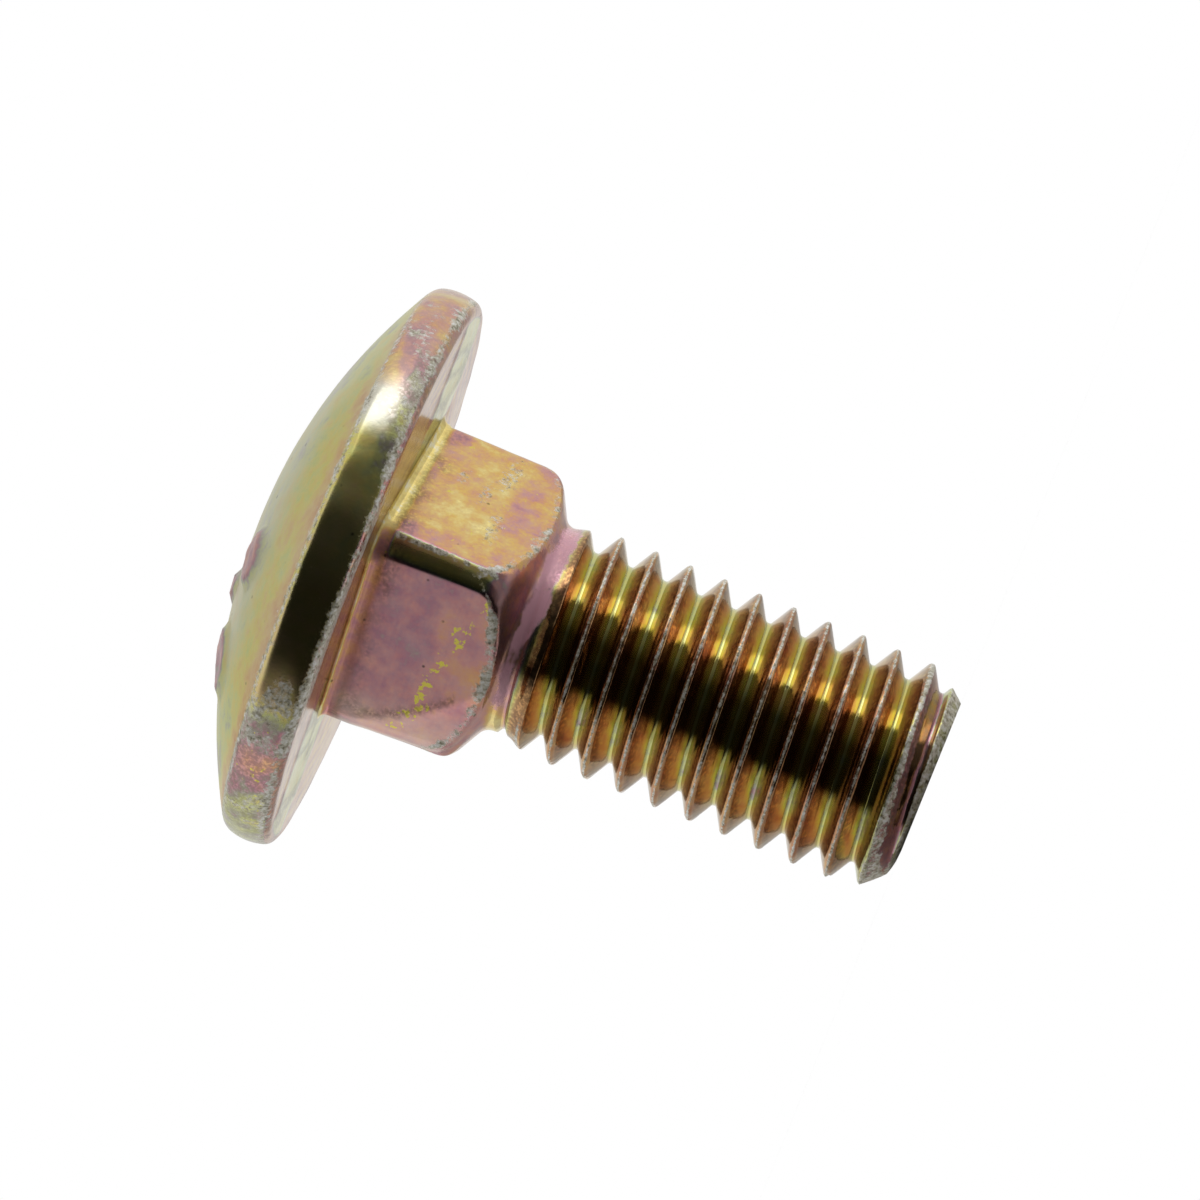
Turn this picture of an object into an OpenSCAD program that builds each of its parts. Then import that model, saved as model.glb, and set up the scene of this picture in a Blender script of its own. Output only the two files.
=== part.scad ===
// Carriage bolt, M8 x 20, threaded up to its square neck. All sizes are in millimetres.
// The bearing face under the head lies in the plane z = 0, and the shank points along -Z.

/* [Head] */
// Diameter of the head at the widest part of its rim
head_d = 19.8; // [17:0.1:24]
// Height of the head, from its bearing face to the top of the dome
head_h = 4.3; // [3.6:0.1:6]
// Radius of the domed top
dome_r = 19.2; // [16:0.1:30]
// Radius of the rim's bulge, seen in section
rim_bulge_r = 2; // [1.6:0.1:4]
// Height of the rim's widest part above the bearing face
rim_mid_h = 0.85; // [0.6:0.05:1.2]
// Rounding under the rim, where it meets the bearing face
rim_under_r = 0.4; // [0.1:0.05:0.5]
// Distance of the head's centre from the shank's axis, left by the forging
head_offset = 0.35; // [0:0.05:0.8]
// Direction of that offset, as an angle from +X towards +Y
head_offset_dir = 215; // [0:5:355]

/* [Square neck] */
// Width of the square neck across its flats
neck_w = 8; // [7.4:0.1:10]
// Length of the neck over which its corners keep their full width
neck_l = 3.7; // [3:0.1:8]
// Rounding of the neck's four corners
neck_corner_r = 0.9; // [0.4:0.1:2]
// Fillet between the neck and the bearing face
neck_fillet_r = 0.35; // [0.1:0.05:0.8]
// Slope of the run-out under the neck, as an angle from the axis
runout_angle = 62; // [45:1:75]
// Rounding where the neck's corners turn into the run-out
runout_shoulder_r = 1.2; // [0.4:0.1:1.6]
// Fillet where the run-out meets the shank
runout_fillet_r = 0.5; // [0.3:0.1:1.2]

/* [Shank and thread] */
// Length of the bolt, from its bearing face to the flat end. This one is made 0.2 mm short.
length = 19.8; // [14:0.1:30]
// Diameter of the plain shank that the thread is rolled on
shank_d = 7.25; // [6.8:0.05:7.8]
// Plain shank between the run-out and the first trace of the thread
shank_l = 0.05; // [0.05:0.05:4]
// Diameter over the thread's crests
thread_d = 7.9; // [7.85:0.05:9]
// Rise of the thread for each turn
pitch = 1.25; // [1:0.05:1.5]
// Turns over which the thread comes up from the plain shank
thread_fade = 1; // [1:0.1:2]
// Turn of the whole thread about its axis, in degrees
thread_phase = 250; // [0:5:355]
// Length of the taper that leads on to the flat end
point_l = 1; // [0.8:0.1:3]
// Diameter at the small end of that taper
point_d = 6.6; // [6.2:0.1:7.4]
// Rounding, as a small bevel, round the flat end
end_bevel = 0.25; // [0.1:0.05:0.5]

/* [Hidden] */
zinc = [0.80, 0.69, 0.40];

// The thread has the standard 60 degree flanks, with a crest of an eighth of the pitch.
thread_depth = 0.64 * pitch;
flank_run = tan(30);
crest_flat = pitch / 8;
root_flat = pitch - crest_flat - 2 * thread_depth * flank_run;
thread_steps = 60;

// Solids that join run this far into each other, and the crests are turned down by as much.
bite = 0.05;

neck_corner = sqrt(2) * (neck_w / 2 - neck_corner_r) + neck_corner_r;
runout_drop = neck_corner - shank_d / 2;
// The run-out's two roundings shrink together where the neck is too narrow for them.
runout_fit = min(1, 0.95 * runout_drop
    / ((runout_shoulder_r + runout_fillet_r) * (1 - cos(runout_angle))));
shoulder_r = runout_shoulder_r * runout_fit;
fillet_r = runout_fillet_r * runout_fit;
runout_straight = (runout_drop - (shoulder_r + fillet_r) * (1 - cos(runout_angle)))
    / sin(runout_angle);
runout_l = (shoulder_r + fillet_r) * sin(runout_angle) + runout_straight * cos(runout_angle);
thread_top = -(neck_l + runout_l + shank_l);

// Points along an arc about c, from angle a to angle b, in n equal steps.
function arc(c, r, a, b, n) = [for (i = [0:n]) let (t = a + (b - a) * i / n)
    c + r * [cos(t), sin(t)]];

// Forging
module head() {
    rim_r = head_d / 2 - rim_bulge_r;
    under = [rim_r + sqrt(pow(rim_bulge_r - rim_under_r, 2) - pow(rim_mid_h - rim_under_r, 2)),
             rim_under_r];
    touch = atan2(rim_under_r - rim_mid_h, under[0] - rim_r);
    translate(head_offset * [cos(head_offset_dir), sin(head_offset_dir), 0])
        intersection() {
            rotate_extrude($fn = 128)
                polygon(concat([[0, 0]],
                    arc(under, rim_under_r, -90, touch, 6),
                    arc([rim_r, rim_mid_h], rim_bulge_r, touch, 90, 18),
                    [[rim_r, 2 * head_h], [0, 2 * head_h]]));
            translate([0, 0, head_h - dome_r]) sphere(dome_r, $fn = 240);
        }
}

module neck_outline() {
    flat = neck_w - 2 * neck_corner_r;
    square([neck_w, flat], center = true);
    square([flat, neck_w], center = true);
    for (x = [-1, 1], y = [-1, 1])
        translate([x, y] * flat / 2) circle(neck_corner_r, $fn = 48);
}

// Section of the neck's envelope: full to the corners, then down the run-out to the shank.
module runout_profile() {
    shoulder = [neck_corner - shoulder_r, -neck_l];
    foot = [shank_d / 2 + fillet_r, thread_top + shank_l];
    polygon(concat([[0, bite], [neck_corner + bite, bite], [neck_corner + bite, -neck_l]],
        arc(shoulder, shoulder_r, 0, -runout_angle, 6),
        arc(foot, fillet_r, 180 - runout_angle, 180, 6),
        [[shank_d / 2, thread_top], [0, thread_top]]));
}

module neck() {
    intersection() {
        translate([0, 0, thread_top]) linear_extrude(bite - thread_top) neck_outline();
        rotate_extrude($fn = 96) runout_profile();
    }
}

// Section of the fillet, with x out from the neck and y up from the bearing face.
module fillet_profile() {
    polygon(concat([[-bite, bite], [-bite, -neck_fillet_r]],
        arc([neck_fillet_r, -neck_fillet_r], neck_fillet_r, 180, 90, 5),
        [[neck_fillet_r, bite]]));
}

module neck_fillet() {
    flat = neck_w - 2 * neck_corner_r;
    for (side = [0:3]) rotate(90 * side) {
        translate([neck_w / 2, flat / 2, 0]) rotate([90, 0, 0])
            linear_extrude(flat) fillet_profile();
        translate([flat / 2, flat / 2, 0])
            rotate_extrude(angle = 90, $fn = 48)
                translate([neck_corner_r, 0]) fillet_profile();
    }
}

// Thread
// Radius of the crest, v turns from the start of the thread. It rises out of the plain shank.
function crest_r(v) = shank_d / 2 - bite
    + ((thread_d - shank_d) / 2 + 2 * bite) * min(max(v / thread_fade, 0), 1);
// Radius of the root, u turns from the start.
function root_r(u) = shank_d / 2 - bite
    - (thread_depth - (thread_d - shank_d) / 2 - bite) * min(max(u / thread_fade, 0), 1);
function groove_z(u) = thread_top - crest_flat - pitch * u;

// The groove is swept down the helix. Each step holds the four corners of its section, from
// the head's side to the end's side: mouth, root, root, mouth.
function groove_step(i) =
    let (u = i / thread_steps - 1,
         turn = [cos(thread_phase - 360 * u), sin(thread_phase - 360 * u)],
         above = crest_r(u - 0.5),
         below = crest_r(u + 0.5),
         root = root_r(u),
         half = root_flat / 2,
         z = groove_z(u))
    [[each above * turn, z + half + (above - root) * flank_run],
     [each root * turn, z + half],
     [each root * turn, z - half],
     [each below * turn, z - half - (below - root) * flank_run]];

module threaded_shank() {
    turns = ceil((thread_top + length) / pitch) + 2;
    last = turns * thread_steps;
    steps = [for (i = [0:last]) each groove_step(i)];
    // Each cap is a fan about a point on the axis, level with the helix's first or last step.
    hubs = [[0, 0, groove_z(-1)], [0, 0, groove_z(turns - 1)]];
    top_hub = len(steps);
    end_hub = top_hub + 1;
    walls = [for (i = [0:last - 1], k = [0:2])
        [4 * i + k, 4 * i + k + 1, 4 * i + k + 5, 4 * i + k + 4]];
    crests = [for (i = [0:last - thread_steps - 1])
        [4 * i + 3, 4 * (i + thread_steps), 4 * (i + thread_steps) + 4, 4 * i + 7]];
    top_loop = concat([for (i = [0:thread_steps]) 4 * i], [3, 2, 1]);
    end_loop = concat([for (i = [last - thread_steps:last]) 4 * i + 3],
        [4 * last + 2, 4 * last + 1, 4 * last]);
    top_fan = [for (j = [0:len(top_loop) - 1])
        [top_hub, top_loop[j], top_loop[(j + 1) % len(top_loop)]]];
    end_fan = [for (j = [0:len(end_loop) - 1])
        [end_hub, end_loop[(j + 1) % len(end_loop)], end_loop[j]]];
    polyhedron(points = concat(steps, hubs), faces = concat(walls, crests, top_fan, end_fan),
        convexity = 20);
}

// Section of the rolled end: crests turned to their diameter, tapered and bevelled at the end.
module thread_envelope() {
    polygon([[0, -length], [point_d / 2 - end_bevel, -length],
        [point_d / 2, end_bevel - length], [thread_d / 2, point_l - length],
        [thread_d / 2, groove_z(-2)], [0, groove_z(-2)]]);
}

module thread() {
    intersection() {
        threaded_shank();
        rotate_extrude($fn = 120) thread_envelope();
    }
}

module bolt() {
    color(zinc) {
        head();
        neck();
        neck_fillet();
        thread();
    }
}

bolt();
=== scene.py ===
import math

import bpy
import numpy as np
from mathutils import Matrix, Vector


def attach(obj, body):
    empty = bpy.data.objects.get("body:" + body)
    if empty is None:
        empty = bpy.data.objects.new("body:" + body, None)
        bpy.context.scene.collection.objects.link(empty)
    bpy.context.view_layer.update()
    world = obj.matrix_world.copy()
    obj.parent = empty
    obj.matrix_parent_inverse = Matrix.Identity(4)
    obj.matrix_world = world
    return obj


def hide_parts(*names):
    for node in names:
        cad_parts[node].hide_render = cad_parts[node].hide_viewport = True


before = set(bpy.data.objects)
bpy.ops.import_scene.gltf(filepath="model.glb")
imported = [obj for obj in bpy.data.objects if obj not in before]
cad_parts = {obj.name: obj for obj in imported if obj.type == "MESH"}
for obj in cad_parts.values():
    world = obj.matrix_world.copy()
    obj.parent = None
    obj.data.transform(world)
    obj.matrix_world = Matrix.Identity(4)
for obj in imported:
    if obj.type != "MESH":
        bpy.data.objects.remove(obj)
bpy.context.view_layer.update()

# Lengths are in millimetres, in the row frame: the bearing face is z = 0 and the shank points down.
MM = 0.001
DEGREE = math.radians(1)

# The camera, matched to the photograph. It stands at the height of the bolt's flat end.
PHOTO_PIXELS = 1200
FOCAL_PIXELS = 5850
SENSOR = 36.0
VIEW_AZIMUTH = math.radians(35.2)
AXIS_SLOPE = math.radians(22.1)
END_RIGHT = 12.514
END_UP = -1.7255
END_AWAY = 196.0

# Sizes shared with the part's source, apart from the fillet, which is drawn a little smaller.
HEAD_H = 4.3
DOME_R = 19.2
RIM_R = 7.9
RIM_BULGE_R = 2.0
RIM_MID_H = 0.85
UNDER_X = 9.435
UNDER_R = 0.4
HEAD_OFFSET = np.array([0.35 * math.cos(math.radians(215)), 0.35 * math.sin(math.radians(215))])
NECK_W = 8.0
NECK_L = 3.7
CORNER_R = 0.9
NECK_CORNER = math.sqrt(2) * (NECK_W / 2 - CORNER_R) + CORNER_R
FILLET_R = 0.28
RUNOUT_ANGLE = math.radians(62)
SHOULDER_R = 1.2
FOOT_R = 0.5
LENGTH = 19.8
SHANK_R = 3.625
CREST_R = 3.95
PITCH = 1.25
THREAD_DEPTH = 0.8
THREAD_PHASE = 250.0
RUNOUT_FALL = 1 - math.cos(RUNOUT_ANGLE)
RUNOUT_STRAIGHT = ((NECK_CORNER - SHANK_R - (SHOULDER_R + FOOT_R) * RUNOUT_FALL)
                   / math.sin(RUNOUT_ANGLE))
RUNOUT_L = ((SHOULDER_R + FOOT_R) * math.sin(RUNOUT_ANGLE)
            + RUNOUT_STRAIGHT * math.cos(RUNOUT_ANGLE))
THREAD_TOP = -(NECK_L + RUNOUT_L + 0.05)
FIRST_GROOVE = THREAD_TOP - PITCH / 8
POINT_L = 1.0
POINT_R = 3.3
END_BEVEL = 0.25

# The edge between dome and rim: its radius, its angle on the rim's bulge, the direction in which
# the dome falls there, and how far back it is rounded off.
EDGE_RADIUS = 9.732
EDGE_ANGLE = math.radians(23.6)
EDGE_COSINE = 0.862
EDGE_FALL = np.array([0.87, -0.49])
EDGE_CUT = 0.26
EDGE_LEAD = 0.7

# The head leans a little off the axis, as two slopes. The dome faces a little further down in
# the photograph, and towards its camera, than the axis does.
HEAD_TILT = 0.0125
HEAD_NOD = -0.018
# The neck is this much wider on each side where it meets the head.
NECK_DRAFT = 0.06
# The upsetting left the two near corners sharper than the others: their directions in degrees,
# and how much smaller their rounding is. The second also runs out a little fuller.
SHARPER_CORNERS = ((315, 0.30), (225, 0.10))
FULLER_CORNER, FULLER_BY = math.radians(225), 0.08
# The start of the thread: where its root begins to sink and its crest to rise, in turns before
# the first groove, and over how many turns they do.
ROOT_EARLY, ROOT_TURNS = 0.25, 0.8
CREST_EARLY, CREST_TURNS = 0.6, 1.6
# Half width of the flat bottom of the groove, before its corners are rounded.
ROOT_HALF = 0.085
FLANK_SLOPE = math.tan(math.radians(60))

# Directions across the bolt as the photograph shows it.
TO_CAMERA = np.array([math.sin(VIEW_AZIMUTH), -math.cos(VIEW_AZIMUTH), 0])
IMAGE_UP = np.array([math.cos(VIEW_AZIMUTH), math.sin(VIEW_AZIMUTH), 0])

# The mesh. Its seam is on a flat that faces away from the camera.
SEAM = 90.0
HEAD_COLUMNS = 384
FLAT_STEPS = 28
CORNER_STEPS = 20
# Rows over one pitch, closer together at the crest, and the depth of the crest they start from.
PITCH_ROWS = [0, .035, .075, .13, .2, .28, .36, .422, .436, .452,
              .5, .548, .564, .578, .64, .72, .8, .87, .925, .965]
CREST_ROW = PITCH_ROWS.index(0.5)
CREST_DEPTH = 5.865
FIRST_DEPTH = 0.55
# Rings of the dome: from, to, step and number of points.
DOME_RINGS = [(0.35, 1.5, 0.35, 48), (1.75, 3.5, 0.25, 96), (3.6, 7.0, 0.2, 192)]
DOME_FINE_FROM = 7.1

DOME, RIM, UNDER_EDGE, SEAT, FILLET, SHAFT = range(6)
# On the shaft, the height at which the run-out gives way to the thread, and the distance from
# the axis past which a point lies on one of the neck's flats.
THREAD_FROM = -5.6
ON_FLAT = 3.4

# Plain worn pads on the dome: place towards the camera and image-up, half length and half width
# in those two directions, and turn in degrees.
PADS = [(5.5, -0.9, 1.05, 1.0, 12), (2.4, -2.05, 0.45, 1.1, 0), (3.7, -4.45, 1.2, 1.3, -12)]
PAD_HEIGHT = 0.18
# The crease on the -Y flat, as places (x, z), and how far it bows.
CREASE_FROM, CREASE_TO, CREASE_BOW = (-3.1, -1.0), (-0.5, -4.75), 0.35
# The line of yellow flecks across the -Y flat, as places (x, z).
FLECK_LINE = [(2.8, -4.2), (-0.33, -3.15), (-1.95, -3.15), (-3.04, -2.45)]
# Fine scratches on the +X flat: place along it, depth, half length and half width.
SCRATCHES = [(0.6, 2.5, 0.9, 0.35), (1.9, 3.0, 1.5, 0.45), (-1.2, 3.3, 1.2, 0.4),
             (0.9, 1.6, 0.6, 0.3)]

# Colours of the chromate film as it thickens.
FILM = [(0.00, (244, 236, 206)), (0.06, (250, 228, 144)), (0.14, (230, 206, 130)),
        (0.24, (222, 182, 100)), (0.34, (214, 160, 110)), (0.45, (202, 142, 138)),
        (0.55, (172, 120, 136)), (0.64, (160, 156, 142)), (0.74, (188, 192, 122)),
        (0.86, (206, 192, 106)), (1.00, (206, 174, 116)), (1.12, (200, 154, 104)),
        (1.25, (178, 122, 92))]
# A film's number is multiplied by this to keep it inside the ramp.
FILM_SCALE = 0.8
GRAIN = [(0.32, (122, 114, 92)), (0.42, (188, 182, 160)), (0.52, (228, 224, 208)),
         (0.62, (252, 251, 246))]
# Pink of the band round the run-out's foot, partly bloom and partly a painted reflection.
PINK_BLOOM_AND_REFLECTION = (255, 192, 208)
PALE = (214, 211, 194)
YELLOW = (222, 212, 78)
# Brown for dirt and for painted shade.
DIRT_AND_SHADE_BROWN = (84, 62, 42)
SPECK = (58, 50, 34)
EDGE_TINT = (232, 233, 226)
FLOOR = (248, 248, 247)

# The floor's radius, where it fades out, and where it ends in front of the bolt for all but the
# camera's own rays.
FLOOR_R, FLOOR_STEPS = 110.0, 96
FLOOR_FADE = (85, 108)
FLOOR_FRONT = (4, 7)


# Shaping functions
def smooth_min(a, b, k):
    h = np.clip(0.5 + 0.5 * (b - a) / k, 0, 1)
    return b + (a - b) * h - k * h * (1 - h)


def smooth_max(a, b, k):
    return -smooth_min(-a, -b, k)


def ease(x, low, high):
    """0 below low, 1 above high, and smooth between them."""
    t = np.clip((x - low) / (high - low), 0, 1)
    return t * t * (3 - 2 * t)


def fall(x, low, high):
    """1 below low, 0 above high, and smooth between them."""
    return 1 - ease(x, low, high)


def within(x, start, full, still, end):
    """0 up to start, 1 from full to still, and 0 again from end."""
    return ease(x, start, full) * fall(x, still, end)


def blend(a, b, t):
    return a * (1 - t) + b * t


def noise(points, size, seed):
    """Smooth noise between -1 and 1, in lumps about that many millimetres wide."""
    q = np.asarray(points, float) / size + seed * 17.31
    cell = np.floor(q).astype(np.int64)
    t = q - cell
    t = t * t * (3 - 2 * t)
    total = np.zeros(q.shape[:-1])
    for corner in range(8):
        step = np.array([(corner >> k) & 1 for k in range(3)])
        weight = np.prod(np.where(step, t, 1 - t), axis=-1)
        c = cell + step
        h = ((c[..., 0] * 73856093) ^ (c[..., 1] * 19349663) ^ (c[..., 2] * 83492791)
             ^ (seed * 2654435))
        h = (h ^ (h >> 13)) * 1274126177 & 0x7FFFFFFF
        total += weight * (((h >> 7) & 0xFFFF) / 32767.5 - 1)
    return total


# Form of the bolt
def dome_z(r):
    return HEAD_H - DOME_R + math.sqrt(DOME_R ** 2 - r * r)


def bulge_point(a):
    """Radius and height of a point on the rim's bulge, at an angle above its middle."""
    return np.array([RIM_R + RIM_BULGE_R * math.cos(a), RIM_MID_H + RIM_BULGE_R * math.sin(a)])


def head_sections():
    """Rings of the head, from the top of the dome out to the rim and round to the bearing face,
    each as its radius, height, part and number of points."""
    sections = []
    for start, stop, step, columns in DOME_RINGS:
        sections += [(r, dome_z(r), DOME, columns) for r in np.arange(start, stop, step)]
    dome_to = EDGE_RADIUS - EDGE_CUT * EDGE_COSINE
    for r in np.linspace(DOME_FINE_FROM, dome_to, 13):
        sections.append((r, dome_z(r), DOME, HEAD_COLUMNS))
    # The edge is a curve from the dome on to the bulge.
    bulge_from = EDGE_ANGLE - EDGE_CUT / RIM_BULGE_R
    start, stop = np.array([dome_to, dome_z(dome_to)]), bulge_point(bulge_from)
    lead_in = EDGE_FALL * EDGE_CUT * EDGE_LEAD
    lead_out = np.array([math.sin(bulge_from), -math.cos(bulge_from)]) * EDGE_CUT * EDGE_LEAD
    for t in np.linspace(0, 1, 11)[1:]:
        r, z = ((1 - t) ** 3 * start + 3 * t * (1 - t) ** 2 * (start + lead_in)
                + 3 * t * t * (1 - t) * (stop - lead_out) + t ** 3 * stop)
        sections.append((r, z, RIM, HEAD_COLUMNS))
    touch = math.atan2(UNDER_R - RIM_MID_H, UNDER_X - RIM_R)
    for a in np.linspace(bulge_from, touch, 23)[1:]:
        sections.append((*bulge_point(a), RIM, HEAD_COLUMNS))
    for a in np.linspace(touch, -math.pi / 2, 10)[1:]:
        sections.append((UNDER_X + UNDER_R * math.cos(a), UNDER_R + UNDER_R * math.sin(a),
                         UNDER_EDGE, HEAD_COLUMNS))
    return sections


def neck_angles():
    """Directions of the neck's columns, from the seam, with more of them on the corners."""
    half = math.degrees(math.atan2(NECK_W / 2 - CORNER_R, NECK_W / 2))
    turns = []
    for side in range(4):
        middle = 90 * side
        for low, high, steps in ((0, half, FLAT_STEPS // 2), (half, 90 - half, CORNER_STEPS),
                                 (90 - half, 90, FLAT_STEPS // 2)):
            turns += list(middle + np.linspace(low, high, steps + 1)[:-1])
    return np.array(turns)


def corner_radius(angle):
    """Rounding of the neck's corner that lies in a direction."""
    d = np.degrees(angle) % 360
    radius = CORNER_R
    for direction, less in SHARPER_CORNERS:
        radius = radius - less * (np.abs(d - direction) < 45)
    return radius


def square_reach(angle, corner_r=CORNER_R, width=NECK_W):
    """Distance from the axis to the neck's rounded square, in a direction."""
    a = np.abs((np.degrees(angle) + 45) % 90 - 45)
    a = np.radians(a)
    half, inner = width / 2, width / 2 - corner_r
    flat = half / np.cos(a)
    along = inner * (np.cos(a) + np.sin(a))
    across = 2 * inner * inner
    arc = along + np.sqrt(np.maximum(along * along - across + corner_r * corner_r, 0))
    return np.where(half * np.tan(a) <= inner, flat, arc)


def square_outward(angle):
    """Outward direction of the rounded square's side, in a direction from the axis."""
    reach = square_reach(angle)
    p = np.column_stack([np.cos(angle), np.sin(angle)]) * reach[:, None]
    inner = NECK_W / 2 - CORNER_R
    d = p - np.clip(p, -inner, inner)
    return d / np.linalg.norm(d, axis=1)[:, None]


def runout_reach(z):
    """Radius of the neck's envelope: over the corners, down the run-out and on to the shank."""
    s1 = SHOULDER_R * math.sin(RUNOUT_ANGLE)
    s2 = s1 + RUNOUT_STRAIGHT * math.cos(RUNOUT_ANGLE)
    s3 = s2 + FOOT_R * math.sin(RUNOUT_ANGLE)
    d = np.clip(-NECK_L - z, 0, s3)
    shoulder = NECK_CORNER - SHOULDER_R + np.sqrt(np.maximum(SHOULDER_R ** 2 - d * d, 0))
    slope = NECK_CORNER - SHOULDER_R * RUNOUT_FALL - (d - s1) * math.tan(RUNOUT_ANGLE)
    foot = SHANK_R + FOOT_R - np.sqrt(np.maximum(FOOT_R ** 2 - (s3 - d) ** 2, 0))
    return np.where(d > s2, foot, np.where(d < s1, shoulder, slope))


def grooves_down(z, angle):
    """How many grooves down the thread a point lies. Grooves are at whole numbers."""
    return (FIRST_GROOVE - z) / PITCH - (THREAD_PHASE - np.degrees(angle)) / 360


def thread_offset(q, turn):
    """How far the thread stands out of the plain shank. q counts grooves and turn its own turns."""
    n = np.round(q)
    y = np.abs(q - n) * PITCH
    grown = np.clip((turn + (n - q) + ROOT_EARLY) / ROOT_TURNS, 0, 1)
    root = SHANK_R - (SHANK_R - (CREST_R - THREAD_DEPTH)) * grown
    rise = np.clip((turn + (np.floor(q) + 0.5 - q) + CREST_EARLY) / CREST_TURNS, 0, 1)
    rise = rise * ease(q, -0.85, -0.35)
    crest = SHANK_R + (CREST_R - SHANK_R) * rise
    flank = root + (y - ROOT_HALF) * FLANK_SLOPE
    bottom = smooth_max(root, flank, 0.06)
    return smooth_min(bottom, crest, 0.02) - SHANK_R


def end_reach(z, angle):
    """Radius of the rolled end. It slumps more on the side that the photograph shows below."""
    low = ease(np.cos(angle - VIEW_AZIMUTH - math.pi), 0.2, 1)
    down = np.clip((-LENGTH + POINT_L - z) / (POINT_L - END_BEVEL), 0, 1)
    taper = CREST_R - (CREST_R - POINT_R) * down
    near = np.maximum(z + LENGTH, 0)
    bevel = POINT_R - END_BEVEL + near
    # Where it slumps, the end is rounded from a smaller flat instead of bevelled.
    slump = (2.25 + 1.35 * np.sqrt(1 - (1 - np.clip(near / 0.6, 0, 1)) ** 2)
             + 2 * np.maximum(near - 0.4, 0))
    return smooth_min(taper, blend(bevel, slump, low), 0.15)


def shaft_points(angle, s):
    """Points of the neck, run-out, thread and flat end. s is the distance down from the bearing
    face, and past the end it goes on towards the axis."""
    z = -np.minimum(s, LENGTH)
    draft = NECK_DRAFT * ease(z, -3.5, -0.3)
    square = square_reach(angle, corner_radius(angle), NECK_W + draft * 2)
    fuller = FULLER_BY * ease(np.cos(angle - FULLER_CORNER), 0.8, 1)
    base = smooth_min(square, runout_reach(z) + fuller, 0.1)
    thread = thread_offset(grooves_down(z, angle), (FIRST_GROOVE - z) / PITCH)
    r = base + thread * ease(-z, 4.9, 5.4)
    r = np.where(z < -LENGTH + 2, smooth_min(r, end_reach(z, angle), 0.05), r)
    r = r * np.clip(1 - (s - LENGTH) / PITCH, 0, 1) ** np.where(s > LENGTH, 1, 0)
    return np.column_stack([r * np.cos(angle), r * np.sin(angle), z])


# Mesh
class Surface:
    """Collects the vertices, what part of the bolt each belongs to, and the faces."""

    def __init__(self):
        self.points, self.parts, self.faces, self.count = [], [], [], 0

    def add(self, points, part):
        start = self.count
        self.points.append(np.asarray(points, float))
        self.parts.append(np.full(len(points), part))
        self.count += len(points)
        return np.arange(start, self.count)

    def face(self, *corners):
        self.faces.append(tuple(int(v) for v in corners))

    def band(self, a, b):
        """Joins two closed rings of the same number of points."""
        for corners in zip(a, np.roll(a, -1), np.roll(b, -1), b):
            self.face(*corners)

    def halve(self, fine, coarse, inward):
        """Joins a ring to one that has half as many points."""
        n = len(coarse)
        for j in range(n):
            f0, f1, f2 = fine[2 * j], fine[2 * j + 1], fine[(2 * j + 2) % (2 * n)]
            c0, c1 = coarse[j], coarse[(j + 1) % n]
            for corners in ((f0, f1, c0), (f1, c1, c0), (f1, f2, c1)):
                self.face(*(corners[::-1] if inward else corners))


def circle_points(radius, z, angles, centre):
    return np.column_stack([centre[0] + radius * np.cos(angles),
                            centre[1] + radius * np.sin(angles), np.full(len(angles), z)])


def flat_points(xy, z=0.0):
    return np.column_stack([xy, np.full(len(xy), z)])


def add_head(s, fine):
    """Adds the head down to the bearing face's outer ring, which is returned."""
    last = None
    top = s.add([[HEAD_OFFSET[0], HEAD_OFFSET[1], HEAD_H]], DOME)
    for r, z, part, columns in head_sections():
        angles = fine[:: HEAD_COLUMNS // columns]
        ring = s.add(circle_points(r, z, angles, HEAD_OFFSET), part)
        if last is None:
            for i in range(columns):
                s.face(top[0], ring[(i + 1) % columns], ring[i])
        elif len(last) == columns:
            s.band(last, ring)
        else:
            s.halve(ring, last, True)
        last = ring
    return last


def add_seat(s, last, fine, neck):
    """Adds the bearing face, from the head's circle in to the neck's rounded square, and the
    fillet. Returns the fillet's last ring."""
    reach = square_reach(neck, CORNER_R, NECK_W + 2 * NECK_DRAFT)
    side = np.column_stack([np.cos(neck), np.sin(neck)]) * reach[:, None]
    outward = square_outward(neck)
    inner = side + outward * FILLET_R
    outer = circle_points(UNDER_X, 0, fine, HEAD_OFFSET)[:, :2]
    inner_fine = np.empty((HEAD_COLUMNS, 2))
    inner_fine[0::2] = inner
    inner_fine[1::2] = (inner + np.roll(inner, -1, axis=0)) / 2
    for t in np.linspace(0, 0.5, 13)[1:]:
        ring = s.add(flat_points(blend(outer, inner_fine, t)), SEAT)
        s.band(last, ring)
        last = ring
    for t in np.linspace(0.5, 1, 9)[1:]:
        ring = s.add(flat_points(blend(outer[0::2], inner, t)), SEAT)
        if len(last) == HEAD_COLUMNS:
            s.halve(last, ring, False)
        else:
            s.band(last, ring)
        last = ring
    for a in np.linspace(0, math.pi / 2, 8)[1:]:
        xy = side + outward * FILLET_R * (1 - math.sin(a))
        ring = s.add(flat_points(xy, -FILLET_R * (1 - math.cos(a))), FILLET)
        s.band(last, ring)
        last = ring
    return last


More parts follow.
